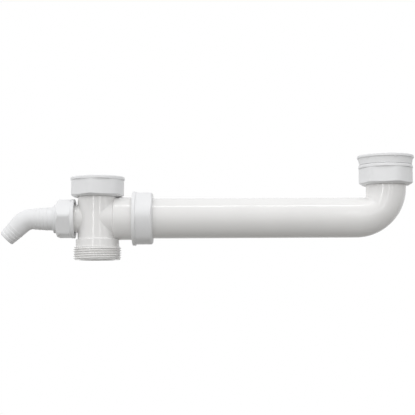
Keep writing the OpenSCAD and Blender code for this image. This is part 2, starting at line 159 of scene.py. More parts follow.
def along_pipe(r, a, s):
    """Places a point about the pipe's axis, s from the tee's axis."""
    return Vector((s, r * math.sin(a), -r * math.cos(a)))


def along_side(r, a, s):
    """Places a point about the side branch's axis, s out from the tee's axis."""
    return Vector((-s, r * math.sin(a), r * math.cos(a)))


def rounded(corners, steps=4):
    """Points of an outline whose (radius, place, rounding) corners are rounded.

    Every corner always gives the same number of points, so that outlines can be joined."""
    points = []
    count = len(corners)
    for i, (r, s, soft) in enumerate(corners):
        here = Vector((r, s))
        if not soft:
            points.append(here)
            continue
        before = Vector(corners[i - 1][:2]) - here
        after = Vector(corners[(i + 1) % count][:2]) - here
        reach_before = before.length
        reach_after = after.length
        before.normalize()
        after.normalize()
        half = math.acos(max(-1.0, min(1.0, before.dot(after)))) / 2
        back = min(soft / math.tan(half), 0.46 * reach_before, 0.46 * reach_after)
        radius = back * math.tan(half)
        middle = here + (before + after).normalized() * (radius / math.sin(half))
        start = here + before * back
        end = here + after * back
        hold = min(0.25 * back, 0.1)
        points.append(start + before * min(hold, 0.8 * (reach_before / 2 - back)))
        for k in range(steps + 1):
            span = math.pi - 2 * half
            near = math.sin((1 - k / steps) * span) / math.sin(span)
            far = math.sin(k / steps * span) / math.sin(span)
            points.append(middle + (start - middle) * near + (end - middle) * far)
        points.append(end + after * min(hold, 0.8 * (reach_after / 2 - back)))
    return points


def open_rounded(corners):
    """Rounds an outline that isn't closed, as (radius, place) pairs."""
    return [(p.x, p.y) for p in rounded(corners)]


def mesh_object(name, points, faces, crease):
    """Makes a smooth piece of points in millimetres about the crossing of the axes."""
    mesh = bpy.data.meshes.new(name)
    mesh.from_pydata([(x * MM, y * MM, (z + axis_z) * MM) for x, y, z in points], [], faces)
    return finish_mesh(name, mesh, crease)


def finish_mesh(name, mesh, crease):
    """Merges doubles, points the faces outwards and smooths all but the sharp edges."""
    bm = bmesh.new()
    bm.from_mesh(mesh)
    bmesh.ops.remove_doubles(bm, verts=bm.verts, dist=2e-6)
    bmesh.ops.recalc_face_normals(bm, faces=bm.faces)
    bm.to_mesh(mesh)
    bm.free()
    mesh.polygons.foreach_set("use_smooth", [True] * len(mesh.polygons))
    mesh.set_sharp_from_angle(angle=math.radians(crease))
    obj = bpy.data.objects.new(name, mesh)
    bpy.context.scene.collection.objects.link(obj)
    return obj


def loft(name, rings, crease):
    """Closed piece through rings of points, where the last ring joins the first."""
    sides = len(rings[0])
    count = len(rings)
    faces = []
    for k in range(count):
        on = (k + 1) % count
        for i in range(sides):
            j = (i + 1) % sides
            faces.append((k * sides + i, k * sides + j, on * sides + j, on * sides + i))
    return mesh_object(name, [p for ring in rings for p in ring], faces, crease)


def turned(name, profile_at, place, columns=192, crease=35):
    """Closed piece whose outline at each angle is profile_at(angle), placed by place."""
    outlines = []
    for i in range(columns):
        a = TURN * i / columns
        outlines.append([place(p.x, a, p.y) for p in rounded(profile_at(a))])
    rings = [list(ring) for ring in zip(*outlines)]
    return loft(name, rings, crease)


def soft_min(a, b, k):
    """The lower of two numbers, blended where they are within k."""
    h = max(k - abs(a - b), 0.0) / k
    return min(a, b) - h * h * k / 4


def bowed_hexagon(half_flat, corner_r, turn_deg, soft=0.35):
    """Outline radius of a nut with six bowed sides, as a function of the angle."""
    proud = corner_r + 0.4
    middle = proud * math.cos(math.pi / 6)
    set_back = (proud ** 2 - half_flat ** 2) / (2 * (half_flat - middle))
    big = half_flat + set_back

    def radius(angle):
        phase = (angle - math.radians(turn_deg)) % (TURN / 6) - TURN / 12
        side = math.sqrt(big ** 2 - (set_back * math.sin(phase)) ** 2) - set_back * math.cos(phase)
        return soft_min(side, corner_r, soft)
    return radius


def flat_hexagon(half_flat, corner_r, turn_deg, soft=0.5):
    """Outline radius of a nut with six flat sides and rounded corners."""
    def radius(angle):
        phase = (angle - math.radians(turn_deg)) % (TURN / 6) - TURN / 12
        return soft_min(half_flat / math.cos(phase), corner_r, soft)
    return radius


# Geometry nodes

class Tree:
    """Small helper that builds a geometry node tree with named inputs."""

    def __init__(self, name, inputs):
        self.group = bpy.data.node_groups.new(name, "GeometryNodeTree")
        self.ids = {}
        for label, kind, value in inputs:
            socket = self.group.interface.new_socket(label, in_out="INPUT", socket_type=kind)
            if value is not None:
                socket.default_value = value
            self.ids[label] = socket.identifier
        self.group.interface.new_socket("Geometry", in_out="OUTPUT", socket_type="NodeSocketGeometry")
        self.source = self.group.nodes.new("NodeGroupInput")
        self.sink = self.group.nodes.new("NodeGroupOutput")

    def read(self, label):
        return self.source.outputs[label]

    def node(self, kind, settings=None, **links):
        made = self.group.nodes.new(kind)
        for key, value in (settings or {}).items():
            setattr(made, key, value)
        for key, value in links.items():
            self.feed(made.inputs[key.replace("_", " ")], value)
        return made

    def feed(self, socket, value):
        if isinstance(value, bpy.types.NodeSocket):
            self.group.links.new(value, socket)
        else:
            socket.default_value = value

    def math(self, operation, a, b=0.0, c=0.0, clamp=False):
        made = self.group.nodes.new("ShaderNodeMath")
        made.operation = operation
        made.use_clamp = clamp
        for socket, value in zip(made.inputs, (a, b, c)):
            self.feed(socket, value)
        return made.outputs[0]

    def vector(self, x, y, z):
        return self.node("ShaderNodeCombineXYZ", X=x, Y=y, Z=z).outputs[0]

    def close(self, geometry):
        """Ends the tree in Realize Instances and Set Material."""
        real = self.node("GeometryNodeRealizeInstances", Geometry=geometry).outputs[0]
        paint = self.node("GeometryNodeSetMaterial", Geometry=real, Material=self.read("Material"))
        self.group.links.new(paint.outputs[0], self.sink.inputs[0])


def grown(name, tree, values):
    """Runs a tree with the values given by its inputs' names and returns the plain mesh."""
    holder = bpy.data.meshes.new(name + "_seed")
    obj = bpy.data.objects.new(name + "_seed", holder)
    bpy.context.scene.collection.objects.link(obj)
    modifier = obj.modifiers.new("Grow", "NODES")
    modifier.node_group = tree.group
    for label, value in values.items():
        modifier[tree.ids[label]] = value
    graph = bpy.context.evaluated_depsgraph_get()
    mesh = bpy.data.meshes.new_from_object(obj.evaluated_get(graph))
    obj.modifiers.remove(modifier)
    bpy.data.objects.remove(obj)
    bpy.data.meshes.remove(holder)
    mesh.name = name
    return mesh


def thread_tree():
    """A closed sleeve about the Z axis that carries a screw thread from z = 0 up to its length.

    The grid's rows follow the helix, so that crest and root stay clean all the way round."""
    tree = Tree("screw_thread", [
        ("Material", "NodeSocketMaterial", None), ("Plain Radius", "NodeSocketFloat", 0.0224),
        ("Ridge Height", "NodeSocketFloat", 0.0015), ("Back Radius", "NodeSocketFloat", 0.02),
        ("Pitch", "NodeSocketFloat", 0.0023), ("Length", "NodeSocketFloat", 0.012),
        ("Fade", "NodeSocketFloat", 0.0015), ("Columns", "NodeSocketInt", 160),
        ("Rows", "NodeSocketInt", 80), ("Rows Per Turn", "NodeSocketInt", 16)])
    columns, rows = tree.read("Columns"), tree.read("Rows")
    pitch, length = tree.read("Pitch"), tree.read("Length")

    def grid(row_count):
        return tree.node("GeometryNodeMeshGrid", Size_X=1.0, Size_Y=1.0, Vertices_X=columns,
                         Vertices_Y=row_count).outputs[0]

    place = tree.node("ShaderNodeSeparateXYZ",
                      Vector=tree.node("GeometryNodeInputPosition").outputs[0])
    u = tree.math("ADD", place.outputs[0], 0.5)
    v = tree.math("ADD", place.outputs[1], 0.5)
    angle = tree.math("MULTIPLY", u, TURN)

    def ring_point(radius, height):
        return tree.vector(tree.math("MULTIPLY", tree.math("COSINE", angle), radius),
                           tree.math("MULTIPLY", tree.math("SINE", angle), radius), height)

    # Height of a helical row, held between the two ends
    row = tree.math("MULTIPLY", v, tree.math("SUBTRACT", rows, 1))
    turns = tree.math("SUBTRACT", tree.math("DIVIDE", row, tree.read("Rows Per Turn")), 1.125)
    climb = tree.math("MULTIPLY", tree.math("ADD", turns, u), pitch)
    height = tree.math("MINIMUM", tree.math("MAXIMUM", climb, 0.0), length)
    phase = tree.math("SUBTRACT", tree.math("DIVIDE", height, pitch), u)
    wave = tree.math("COSINE", tree.math("MULTIPLY", phase, TURN))
    wave = tree.math("MULTIPLY_ADD", wave, 0.5, 0.5)
    fade = tree.read("Fade")
    rise = tree.math("DIVIDE", height, fade, clamp=True)
    fall = tree.math("DIVIDE", tree.math("SUBTRACT", length, height), fade, clamp=True)
    wave = tree.math("MULTIPLY", wave, tree.math("MULTIPLY", rise, fall))
    radius = tree.math("MULTIPLY_ADD", wave, tree.read("Ridge Height"), tree.read("Plain Radius"))
    # The first and last rows turn in to the sleeve's back
    inner = tree.math("MULTIPLY", tree.math("GREATER_THAN", v, 0.0001),
                      tree.math("LESS_THAN", v, 0.9999))
    back = tree.read("Back Radius")
    radius = tree.math("MULTIPLY_ADD", tree.math("SUBTRACT", radius, back), inner, back)
    front = tree.node("GeometryNodeSetPosition", Geometry=grid(rows),
                      Position=ring_point(radius, height))
    rear = tree.node("GeometryNodeSetPosition", Geometry=grid(2),
                     Position=ring_point(back, tree.math("MULTIPLY", v, length)))
    join = tree.node("GeometryNodeJoinGeometry")
    tree.group.links.new(front.outputs[0], join.inputs[0])
    tree.group.links.new(rear.outputs[0], join.inputs[0])
    weld = tree.node("GeometryNodeMergeByDistance", Geometry=join.outputs[0], Distance=2e-6)
    tree.close(weld.outputs[0])
    return tree


def web_tree():
    """Small three-cornered webs repeated about the Z axis."""
    tree = Tree("ring_of_webs", [
        ("Material", "NodeSocketMaterial", None), ("Web", "NodeSocketObject", None),
        ("Count", "NodeSocketInt", 6), ("First Turn", "NodeSocketFloat", 0.7)])
    line = tree.node("GeometryNodeMeshLine", Count=tree.read("Count"))
    for socket in line.inputs:
        if socket.name == "Offset":
            socket.default_value = (0, 0, 0)
    index = tree.node("GeometryNodeInputIndex").outputs[0]
    step = tree.math("DIVIDE", TURN, tree.read("Count"))
    turn = tree.math("MULTIPLY_ADD", index, step, tree.read("First Turn"))
    shape = tree.node("GeometryNodeObjectInfo", Object=tree.read("Web"))
    copies = tree.node("GeometryNodeInstanceOnPoints", Points=line.outputs[0],
                       Instance=shape.outputs["Geometry"])
    tree.group.links.new(tree.vector(0.0, 0.0, turn), copies.inputs["Rotation"])
    tree.close(copies.outputs[0])
    return tree


# Materials

def plastic(name, tint, shade, rough, rough_spread, grain, grain_depth, coat=0.0, specular=0.5):
    """Moulded plastic: two close tints in soft clouds, fine grain in roughness and bump."""
    material = bpy.data.materials.new(name)
    material.use_nodes = True
    tree = material.node_tree
    shader = tree.nodes["Principled BSDF"]
    shader.inputs["Coat Weight"].default_value = coat
    shader.inputs["Coat Roughness"].default_value = 0.06
    shader.inputs["Specular IOR Level"].default_value = specular
    place = tree.nodes.new("ShaderNodeTexCoord").outputs["Object"]

    def noise(scale, detail):
        made = tree.nodes.new("ShaderNodeTexNoise")
        made.inputs["Scale"].default_value = scale
        made.inputs["Detail"].default_value = detail
        tree.links.new(place, made.inputs["Vector"])
        return made.outputs["Fac"]

    clouds = tree.nodes.new("ShaderNodeValToRGB")
    clouds.color_ramp.elements[0].position = 0.3
    clouds.color_ramp.elements[1].position = 0.7
    clouds.color_ramp.elements[0].color = (*shade, 1)
    clouds.color_ramp.elements[1].color = (*tint, 1)
    tree.links.new(noise(38, 3), clouds.inputs["Fac"])
    tree.links.new(clouds.outputs["Color"], shader.inputs["Base Color"])
    finish = tree.nodes.new("ShaderNodeMapRange")
    finish.inputs["To Min"].default_value = rough - rough_spread
    finish.inputs["To Max"].default_value = rough + rough_spread
    tree.links.new(noise(grain * 0.35, 4), finish.inputs["Value"])
    tree.links.new(finish.outputs["Result"], shader.inputs["Roughness"])
    bump = tree.nodes.new("ShaderNodeBump")
    bump.inputs["Strength"].default_value = 1.0
    bump.inputs["Distance"].default_value = grain_depth
    tree.links.new(noise(grain, 5), bump.inputs["Height"])
    tree.links.new(bump.outputs["Normal"], shader.inputs["Normal"])
    return material


GLOSS = plastic("gloss_plastic", (0.795, 0.79, 0.78), (0.775, 0.77, 0.76),
                0.1, 0.02, 900, 0.000002)
SATIN = plastic("satin_plastic", (0.79, 0.795, 0.80), (0.765, 0.77, 0.775),
                0.42, 0.05, 2200, 0.000012)
RING = plastic("plain_ring_plastic", (0.78, 0.78, 0.77), (0.75, 0.75, 0.74),
               0.35, 0.04, 1600, 0.000008)
RUBBER = plastic("seal_rubber", (0.035, 0.035, 0.037), (0.026, 0.026, 0.028),
                 0.6, 0.08, 3000, 0.00002, specular=0.3)


def give(obj, material, body, slot, *nodes):
    """Paints a piece, rides it on its body and hides the CAD nodes it stands for."""
    obj.data.materials.clear()
    obj.data.materials.append(material)
    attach(obj, body)
    if nodes:
        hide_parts(*nodes)
    return obj


# Swept pipe

def swept_pipe():
    """Long pipe with its tight bend, upright leg and captive flange."""
    start = pipe_lo.x
    leg_under_nut = 1.8
    bend_r = far_nut_z - leg_under_nut
    bend_x = far_x - bend_r
    squareness = 16
    sides = 128
    straight_steps, bend_steps = 24, 60
    bevel = 0.7
    flange_low = far_face_z - flange_h

    def straight(r, s):
        return [Vector((s, r * math.sin(TURN * i / sides), -r * math.cos(TURN * i / sides)))
                for i in range(sides)]

    def leg(r, s):
        return [Vector((far_x + r * math.cos(TURN * i / sides), r * math.sin(TURN * i / sides), s))
                for i in range(sides)]

    def bend(r):
        """Rings round the bend, whose inner side is nearly square."""
        rings = []
        for k in range(1, bend_steps):
            a = math.pi / 2 * k / bend_steps
            sharp = (math.cos(a) ** squareness + math.sin(a) ** squareness) ** (1 / squareness)
            near = (bend_r - r) / sharp
            far = bend_r + r
            middle, half = (far + near) / 2, (far - near) / 2
            rings.append([Vector((bend_x + (middle + half * math.cos(t)) * math.sin(a),
                                  r * math.sin(t),
                                  bend_r - (middle + half * math.cos(t)) * math.cos(a)))
                          for t in (TURN * i / sides for i in range(sides))])
        return rings

    outer = [straight(pipe_bore_r, start), straight(pipe_r - bevel, start),
             straight(pipe_r, start + bevel)]
    outer += [straight(pipe_r, start + bevel + (bend_x - start - bevel) * k / straight_steps)
              for k in range(1, straight_steps + 1)]
    outer += bend(pipe_r)
    outer += [leg(pipe_r, bend_r), leg(pipe_r, flange_low)]
    flange = rounded([(pipe_r, flange_low, 0), (flange_r, flange_low, 0.3),
                      (flange_r, far_face_z, 0.3), (pipe_bore_r, far_face_z, 0)])
    outer += [leg(p.x, p.y) for p in flange[1:]]
    inner = [leg(pipe_bore_r, bend_r)] + bend(pipe_bore_r)[::-1]
    inner += [straight(pipe_bore_r, bend_x)]
    return loft("swept_pipe_smooth", outer + inner, 30)


# Nuts

def union_nut(name, x, foot_z, thread_from, neck_r, turn):
    """Captive union nut: bowed sides, bevelled foot, beaded mouth."""
    flat_r = female_r + 1.85
    corner_r = flat_r + 0.95
    bead_r = corner_r + 0.3
    bead_h = 3.2
    foot_h, foot_in = 2.1, 3.3
    foot_r = corner_r - foot_in
    rim_h = 2.2
    relief_r = female_r + relief
    side = bowed_hexagon(flat_r, corner_r, turn)

    def profile(angle):
        r = side(angle)
        rise = foot_h * (r - foot_r) / foot_in
        return [
            (neck_r + neck_fit, 0, 0.2), (foot_r, 0, 0.5), (r, rise, 0.7),
            (r, nut_h - bead_h, 0.12), (bead_r, nut_h - bead_h, 0.9), (bead_r, nut_h, 1.1),
            (female_r + lead, nut_h, 0.3), (female_r, nut_h - lead, 0),
            (female_r, thread_from, 0), (relief_r, thread_from - relief, 0),
            (relief_r, rim_h, 0.2), (neck_r + neck_fit, rim_h, 0.2)]

    def place(r, a, s):
        return Vector((x + r * math.cos(a), r * math.sin(a), foot_z + s))
    return turned(name, profile, place, 240)


def compression_nut():
    """Nut that squeezes the tapered seal on the pipe."""
    length = comp_hi.x - comp_lo.x
    flat_r = female_r + 1.7
    corner_r = flat_r + 0.95
    flange_edge = (comp_hi.z - comp_lo.z) / 2
    flange_w = 3.5
    bevel_l, bevel_in = 1.7, 2.2
    wall_at = length - 2.5
    bore_r = pipe_r + 0.2
    thread_end = length - 6
    relief_r = female_r + relief
    side = bowed_hexagon(flat_r, corner_r, 23)

    def profile(angle):
        r = side(angle)
        drop = bevel_l * (r - (corner_r - bevel_in)) / bevel_in
        return [
            (female_r + lead, 0, 0.3), (flange_edge, 0, 0.8), (flange_edge, flange_w, 0.6),
            (r, flange_w, 0.15), (r, length - drop, 0.7), (corner_r - bevel_in, length, 0.5),
            (bore_r, length, 0.3), (bore_r, wall_at, 0.2), (relief_r, wall_at, 0.2),
            (relief_r, thread_end, 0), (female_r, thread_end - relief, 0), (female_r, lead, 0)]

    def place(r, a, s):
        return along_pipe(r, a, comp_lo.x + s)
    return turned("compression_nut_smooth", profile, place, 240)


def nozzle_nut():
    """Flat-sided nut with a round flange and lip that holds the hose nozzle."""
    start = -side_hi.x
    whole = side_hi.x - side_lo.x
    lip_l = 3.4
    length = whole - lip_l
    flat_r = 18.0
    bore_r = nozzle_neck_r + neck_fit
    room_r = side_male_r + ring_fit
    wall_at = length - 2.2
    lip_r = bore_r + 2.52
    corner_r = flat_r / math.cos(math.pi / 6) - 0.7
    flange_edge = flat_r + 1.55
    flange_w = 3.6
    bevel = 2.4
    edge_r = corner_r - bevel
    side = flat_hexagon(flat_r, corner_r, 36.7)

    def profile(angle):
        r = side(angle)
        drop = max(0.3, r - edge_r)
        return [
            (room_r + lead, 0, 0.3), (flange_edge, 0, 0.7), (flange_edge, flange_w, 0.7),
            (min(r, flange_edge - 0.4), flange_w, 0), (r, flange_w + 0.5, 0),
            (r, length - drop, 0.4), (min(edge_r, r - 0.3), length, 0.5), (lip_r, length, 0.15),
            (lip_r, whole, 0.6), (bore_r, whole, 0.3), (bore_r, wall_at, 0.2),
            (room_r, wall_at, 0.2), (room_r, lead, 0)]

    def place(r, a, s):
        return along_side(r, a, start + s)
    return turned("nozzle_nut_smooth", profile, place, 240)


# Hose nozzle

def hose_nozzle():
    """Bent, ringed hose nozzle with its flange and bore."""
    flange_at = -side_washer_lo.x
    rim_at = flange_at + flange_h
    ring_from = -side_lo.x
    stem_l, angle, bend_radius, bend_side = 20.5, math.radians(45), 17.6, 9.9
    step = 0.35
    groove_w, groove_d = 0.7, 0.3
    bend_l = bend_radius * math.tan(angle / 2)
    bend_at = ring_from + stem_l
    corner_at = bend_at + bend_l
    tip_l, tip_r, bevel = 27.9, 8.1, 0.6
    stem_gap, tip_gap = 7.2, 6.7
    sides = 120

    def circle(centre, direction, r):
        side = Vector((0, 1, 0))
        up = direction.cross(side)
        return [centre + r * (math.cos(t) * up + math.sin(t) * side)
                for t in (TURN * i / sides for i in range(sides))]

    def stem(r, s):
        return circle(Vector((-s, 0, 0)), Vector((-1, 0, 0)), r)

    down = Vector((-math.cos(angle), 0, -math.sin(angle)))

    def tip(r, s):
        return circle(Vector((-corner_at, 0, 0)) + down * s, down, r)

    def bend(r, steps=16):
        rings = []
        centre = Vector((-bend_at, 0, -bend_radius))
        for k in range(1, steps):
            a = angle * k / steps
            out = Vector((-math.sin(a), 0, math.cos(a)))
            rings.append(circle(centre + out * bend_radius,
                                Vector((-math.cos(a), 0, -math.sin(a))), r))
        return rings

    def saw(start, end, places):
        """Corners of a taper with hooked rings, from (radius, place) to (radius, place)."""
        slope = (end[0] - start[0]) / (end[1] - start[1])
        out = [(start[0], start[1], 0)]
        for s, following in zip(places, places[1:] + [end[1]]):
            r = start[0] + slope * (s - start[1])
            gap = following - s
            out += [(r, s, 0.15), (r + step, s + 0.05, 0.22)]
            if gap > 4 * groove_w:
                bare = r + (step + slope * gap) / 2
                middle = s + gap / 2
                out += [(bare, middle - groove_w, 0.2), (bare - groove_d, middle, 0.2),
                        (bare, middle + groove_w, 0.2)]
        return out + [(end[0], end[1], 0)]

    ring_r = bend_side + step
    rings_in = int((stem_l - 1) / stem_gap)
    stem_places = [bend_at - k * stem_gap for k in range(rings_in, 0, -1)]
    tips_in = int((tip_l - bend_l - 1) / tip_gap)
    tip_places = [tip_l - k * tip_gap for k in range(tips_in, 0, -1)]
    bore_stem, bore_tip, narrowing = 8.0, 6.2, 6.0

    stem_line = open_rounded(
        [(bore_stem, flange_at + 2, 0), (bore_stem, flange_at, 0.2),
         (side_flange_r, flange_at, 0.3), (side_flange_r, rim_at, 0.3),
         (nozzle_neck_r, rim_at, 0.2)]
        + saw((nozzle_neck_r, ring_from), (ring_r, bend_at), stem_places))
    tip_line = open_rounded(
        saw((ring_r, bend_l), (tip_r, tip_l - bevel), tip_places)[:-1]
        + [(tip_r, tip_l - bevel, 0.3), (tip_r - bevel, tip_l, 0.3), (bore_tip, tip_l, 0.4),
           (bore_tip, tip_l - 3, 0)])
    rings = [stem(r, s) for r, s in stem_line]
    rings += bend(ring_r)
    rings += [tip(r, s) for r, s in tip_line]
    rings += [tip(bore_tip, bend_l)] + bend(bore_tip)[::-1]
    rings += [stem(bore_tip, bend_at), stem(bore_stem, bend_at - narrowing)]
    return loft("hose_nozzle_smooth", rings, 40)


# Riser ring

def riser_ring():
    """Riser with threaded foot, flared head and flange."""
    top_r = riser_foot_r + 0.9
    flange_edge = riser_hi.y
    relief_r = female_r + relief
    end_z = far_top_z

    def profile(angle):
        return [
            (riser_bore_r, end_z, 0.3), (male_r - lead, end_z, 0.2), (male_r, end_z + lead, 0.2),
            (male_r, head_z, 0.1), (riser_foot_r, head_z, 0.5), (top_r, head_flange_z, 0.3),
            (flange_edge, head_flange_z, 0.5), (flange_edge, head_top_z, 0.7),
            (female_r + lead, head_top_z, 0.3), (female_r, head_top_z - lead, 0),
            (female_r, riser_seal_z, 0), (relief_r, riser_seal_z - 0.1, 0),
            (relief_r, head_floor_z, 0.2), (riser_bore_r, head_floor_z, 0.3)]
    return turned("riser_ring_smooth", profile, upright(far_x), 192)


def riser_webs(tree, material):
    """Six small webs under the riser ring's flange."""
    root, tip = riser_foot_r - 0.6, riser_hi.y - 0.5
    sunk, thin, deep, half = 0.5, 0.4, 4.2, 1.1
    top = head_flange_z
    outline = [(root, top + sunk), (tip, top + sunk), (tip, top - thin), (root, top - deep)]
    points = [(x * MM, y * MM, (z + axis_z) * MM) for y in (-half, half) for x, z in outline]
    count = len(outline)
    faces = [tuple(range(count)), tuple(range(2 * count - 1, count - 1, -1))]
    faces += [(i, (i + 1) % count, count + (i + 1) % count, count + i) for i in range(count)]
    mesh = bpy.data.meshes.new("one_web")
    mesh.from_pydata(points, [], faces)
    bm = bmesh.new()
    bm.from_mesh(mesh)
    bmesh.ops.recalc_face_normals(bm, faces=bm.faces)
    bmesh.ops.bevel(bm, geom=list(bm.edges), offset=0.35 * MM, segments=3, affect="EDGES",
                    profile=0.5)
    bm.to_mesh(mesh)
    bm.free()
    web = bpy.data.objects.new("one_web", mesh)
    bpy.context.scene.collection.objects.link(web)
    grown_webs = grown("riser_webs", tree, {
        "Material": material, "Web": web, "Count": 6, "First Turn": math.radians(42)})
    bpy.data.objects.remove(web)
    grown_webs.transform(Matrix.Translation((far_x * MM, 0, 0)))
    return finish_mesh("riser_webs", grown_webs, 35)


# Tee

class Skin:
    """Patches of quads that are merged into one closed piece."""

    def __init__(self):
        self.points = []
        self.faces = []

    def patch(self, rows, closed=True):
        """Joins rows of points, each to the next."""
        count = len(rows[0])
        first = len(self.points)
        for row in rows:
            self.points += row
        for k in range(len(rows) - 1):
            for i in range(count if closed else count - 1):
                j = (i + 1) % count
                low = first + k * count
                self.faces.append((low + i, low + j, low + count + j, low + count + i))


TEE_COLUMNS = 192
SIDE_ROWS = 48
GRID_ROWS = 10


def half_frame(low, high):
    """(angle, height) points round half of the tube's outline, unrolled, from -90 to 90 degrees."""
    half = TEE_COLUMNS // 2
    quarter = math.pi / 2
    across = [-quarter + math.pi * i / half for i in range(half)]
    down = [high + (low - high) * i / SIDE_ROWS for i in range(SIDE_ROWS)]
    frame_points = [(a, high) for a in across]
    frame_points += [(quarter, z) for z in down]
    frame_points += [(-a, low) for a in across]
    frame_points += [(-quarter, low + high - z) for z in down]
    return frame_points


def branch_turns(low, high):
    """The angle about the branch, from straight up, of each point of the half frame."""
    middle, reach = (low + high) / 2, (high - low) / 2
    return [math.atan2(a / (math.pi / 2), (z - middle) / reach) for a, z in half_frame(low, high)]


def junction(skin, way, tube, branch, soft, low, high):
    """Half of the tube's wall with the branch's hole in it, and the soft seam round the hole.

    way is 1 towards the pipe and -1 towards the nozzle; soft(turn) is the seam's radius.
    Returns the seam's row of points on the branch."""
    edge = half_frame(low, high)
    turns = branch_turns(low, high)
    rows = [[] for _ in range(GRID_ROWS + 1)]
    seam = [[] for _ in range(7)]
    for (a, z), t in zip(edge, turns):
        f = soft(t)
        y = (branch + f) * math.sin(t)
        ball = Vector((math.sqrt((tube + f) ** 2 - y * y), y, (branch + f) * math.cos(t)))
        on_tube = Vector((ball.x * tube / (tube + f), ball.y * tube / (tube + f), ball.z))
        on_branch = Vector((ball.x, y * branch / (branch + f), ball.z * branch / (branch + f)))
        hole_a = math.atan2(ball.y, ball.x)
        for k, row in enumerate(rows):
            share = (k / GRID_ROWS) ** 1.5
            angle = hole_a + (a - hole_a) * share
            height = ball.z + (z - ball.z) * share
            row.append(Vector((way * tube * math.cos(angle), tube * math.sin(angle), height)))
        for k, row in enumerate(seam):
            if f > 0:
                share = k / (len(seam) - 1)
                arm = (on_tube - ball).lerp(on_branch - ball, share).normalized() * f
                point = ball + arm
            else:
                point = on_tube
            row.append(Vector((way * point.x, point.y, point.z)))
    skin.patch(rows)
    if soft(0) > 0:
        skin.patch(seam)
    return seam[-1]


def round_rows(outline, turns, way, wall_r=0.0):
    """Rows about the branch's axis for an outline of (radius, place) points.

    No point comes nearer to the tube's axis than wall_r, so that none shows in its bore."""
    rows = []
    for r, s in outline:
        row = []
        for t in turns:
            y = r * math.sin(t)
            wall = math.sqrt(max(0.0, wall_r ** 2 - y * y))
            row.append(Vector((way * max(s, wall), y, r * math.cos(t))))
        rows.append(row)
    return rows


def eased(start, end, count):
    """Rows of points between two rows."""
    return [[a.lerp(b, k / count) for a, b in zip(start, end)] for k in range(count + 1)]


def tee():
    """The tee's body: upright tube, branch with its socket, side branch and outlet."""
    skin = Skin()
    low, high = -20.0, 21.2
    turns = branch_turns(low, high)
    collar_r = male_r - 2.25
    socket_r = socket_bore_r + 1.35
    socket_x, stop_x, thread_x, mouth_x = 17, 24, 36, 49
    side_thread_x, side_end_x = 24, 33
    seam_r, seam_loss, side_seam_r = 1.3, 0.87, 0.9
    bottom = -outlet_end
    columns = [-math.pi / 2 + TURN * i / TEE_COLUMNS for i in range(TEE_COLUMNS)]

    def level_rows(outline):
        return [[Vector((r * math.cos(a), r * math.sin(a), z)) for a in columns]
                for r, z in outline]

    def branch_seam(t):
        under = max(0.0, -math.cos(t))
        return seam_r - seam_loss * under ** 3

    # Outside of the crossing
    on_branch = junction(skin, 1, tube_r, branch_r, branch_seam, low, high)
    on_side = junction(skin, -1, tube_r, side_branch_r, lambda t: side_seam_r, low, high)
    # Upper neck and the flange that holds the nut
    skin.patch(level_rows(open_rounded([
        (tube_r, high, 0), (tube_r, tee_face_z - flange_h, 0.2),
        (flange_r, tee_face_z - flange_h, 0.3), (flange_r, tee_face_z, 0.3),
        (tube_bore_r, tee_face_z, 0.3), (tube_bore_r, high, 0)])))
    # Collar and the core of the outlet's thread
    skin.patch(level_rows(open_rounded([
        (tube_r, low, 0), (collar_r, low - lead, 0.5), (collar_r, bottom, 0.4),
        (tube_bore_r, bottom, 0.4), (tube_bore_r, low, 0)])))
    # Branch, socket and mouth
    outline = open_rounded([
        (branch_r, socket_x - 2.2, 0), (branch_r, socket_x - lead, 0.8), (socket_r, socket_x, 0.8),
        (socket_r, thread_x - lead, 0.2), (male_r, thread_x, 0.2), (male_r, mouth_x - lead, 0.2),
        (male_r - lead, mouth_x, 0.3), (seat_r, mouth_x, 0.2), (socket_bore_r, mouth_x - 3.5, 0.2),
        (socket_bore_r, stop_x, 0.2), (branch_bore_r, stop_x, 0.3), (branch_bore_r, stop_x - 3, 0)])
    rows = round_rows(outline, turns, 1, (tube_r + tube_bore_r) / 2)
    skin.patch(eased(on_branch, rows[0], 3))
    skin.patch(rows)
    # Side branch
    side_outline = open_rounded([
        (side_branch_r, side_thread_x - 3 * lead, 0), (side_branch_r, side_thread_x - lead, 0.3),
        (side_male_r, side_thread_x, 0.2), (side_male_r, side_end_x - lead, 0.2),
        (side_male_r - lead, side_end_x, 0.3), (side_bore_r, side_end_x, 0.3),
        (side_bore_r, side_end_x - 3, 0)])
    side_rows = round_rows(side_outline, turns, -1)
    skin.patch(eased(on_side, side_rows[0], 3))
    skin.patch(side_rows)
    # Bores
    in_branch = junction(skin, 1, tube_bore_r, branch_bore_r, lambda t: 0, low, high)
    in_side = junction(skin, -1, tube_bore_r, side_bore_r, lambda t: 0, low, high)
    skin.patch(eased(in_branch, rows[-1], 2))
    skin.patch(eased(in_side, side_rows[-1], 2))
    return mesh_object("tee_smooth", skin.points, skin.faces, 40)


# Washers, seal and threads

def lathed(name, outline, place):
    """A round piece with the same outline all the way round."""
    return turned(name, lambda angle: outline, place, 128)


def flat_washer(name, inner, outer, low, high, place):
    """A washer between two places on its axis."""
    return lathed(name, [(inner, low, 0.25), (outer, low, 0.25), (outer, high, 0.25),
                         (inner, high, 0.25)], place)


def compression_seal():
    """Tapered seal that the nut presses between the pipe and the socket's seat."""
    seal_r = pipe_r + ring_fit
    taper_end = seal_hi.x - 2.4
    outline = [(seal_r, seal_lo.x, 0), (socket_bore_r, seal_lo.x, 0), (seat_r, taper_end, 0.3),
               (seat_r, seal_hi.x, 0.3), (seal_r, seal_hi.x, 0.1)]
    return lathed("compression_seal_soft", outline, along_pipe)


threads = thread_tree()
webs = web_tree()


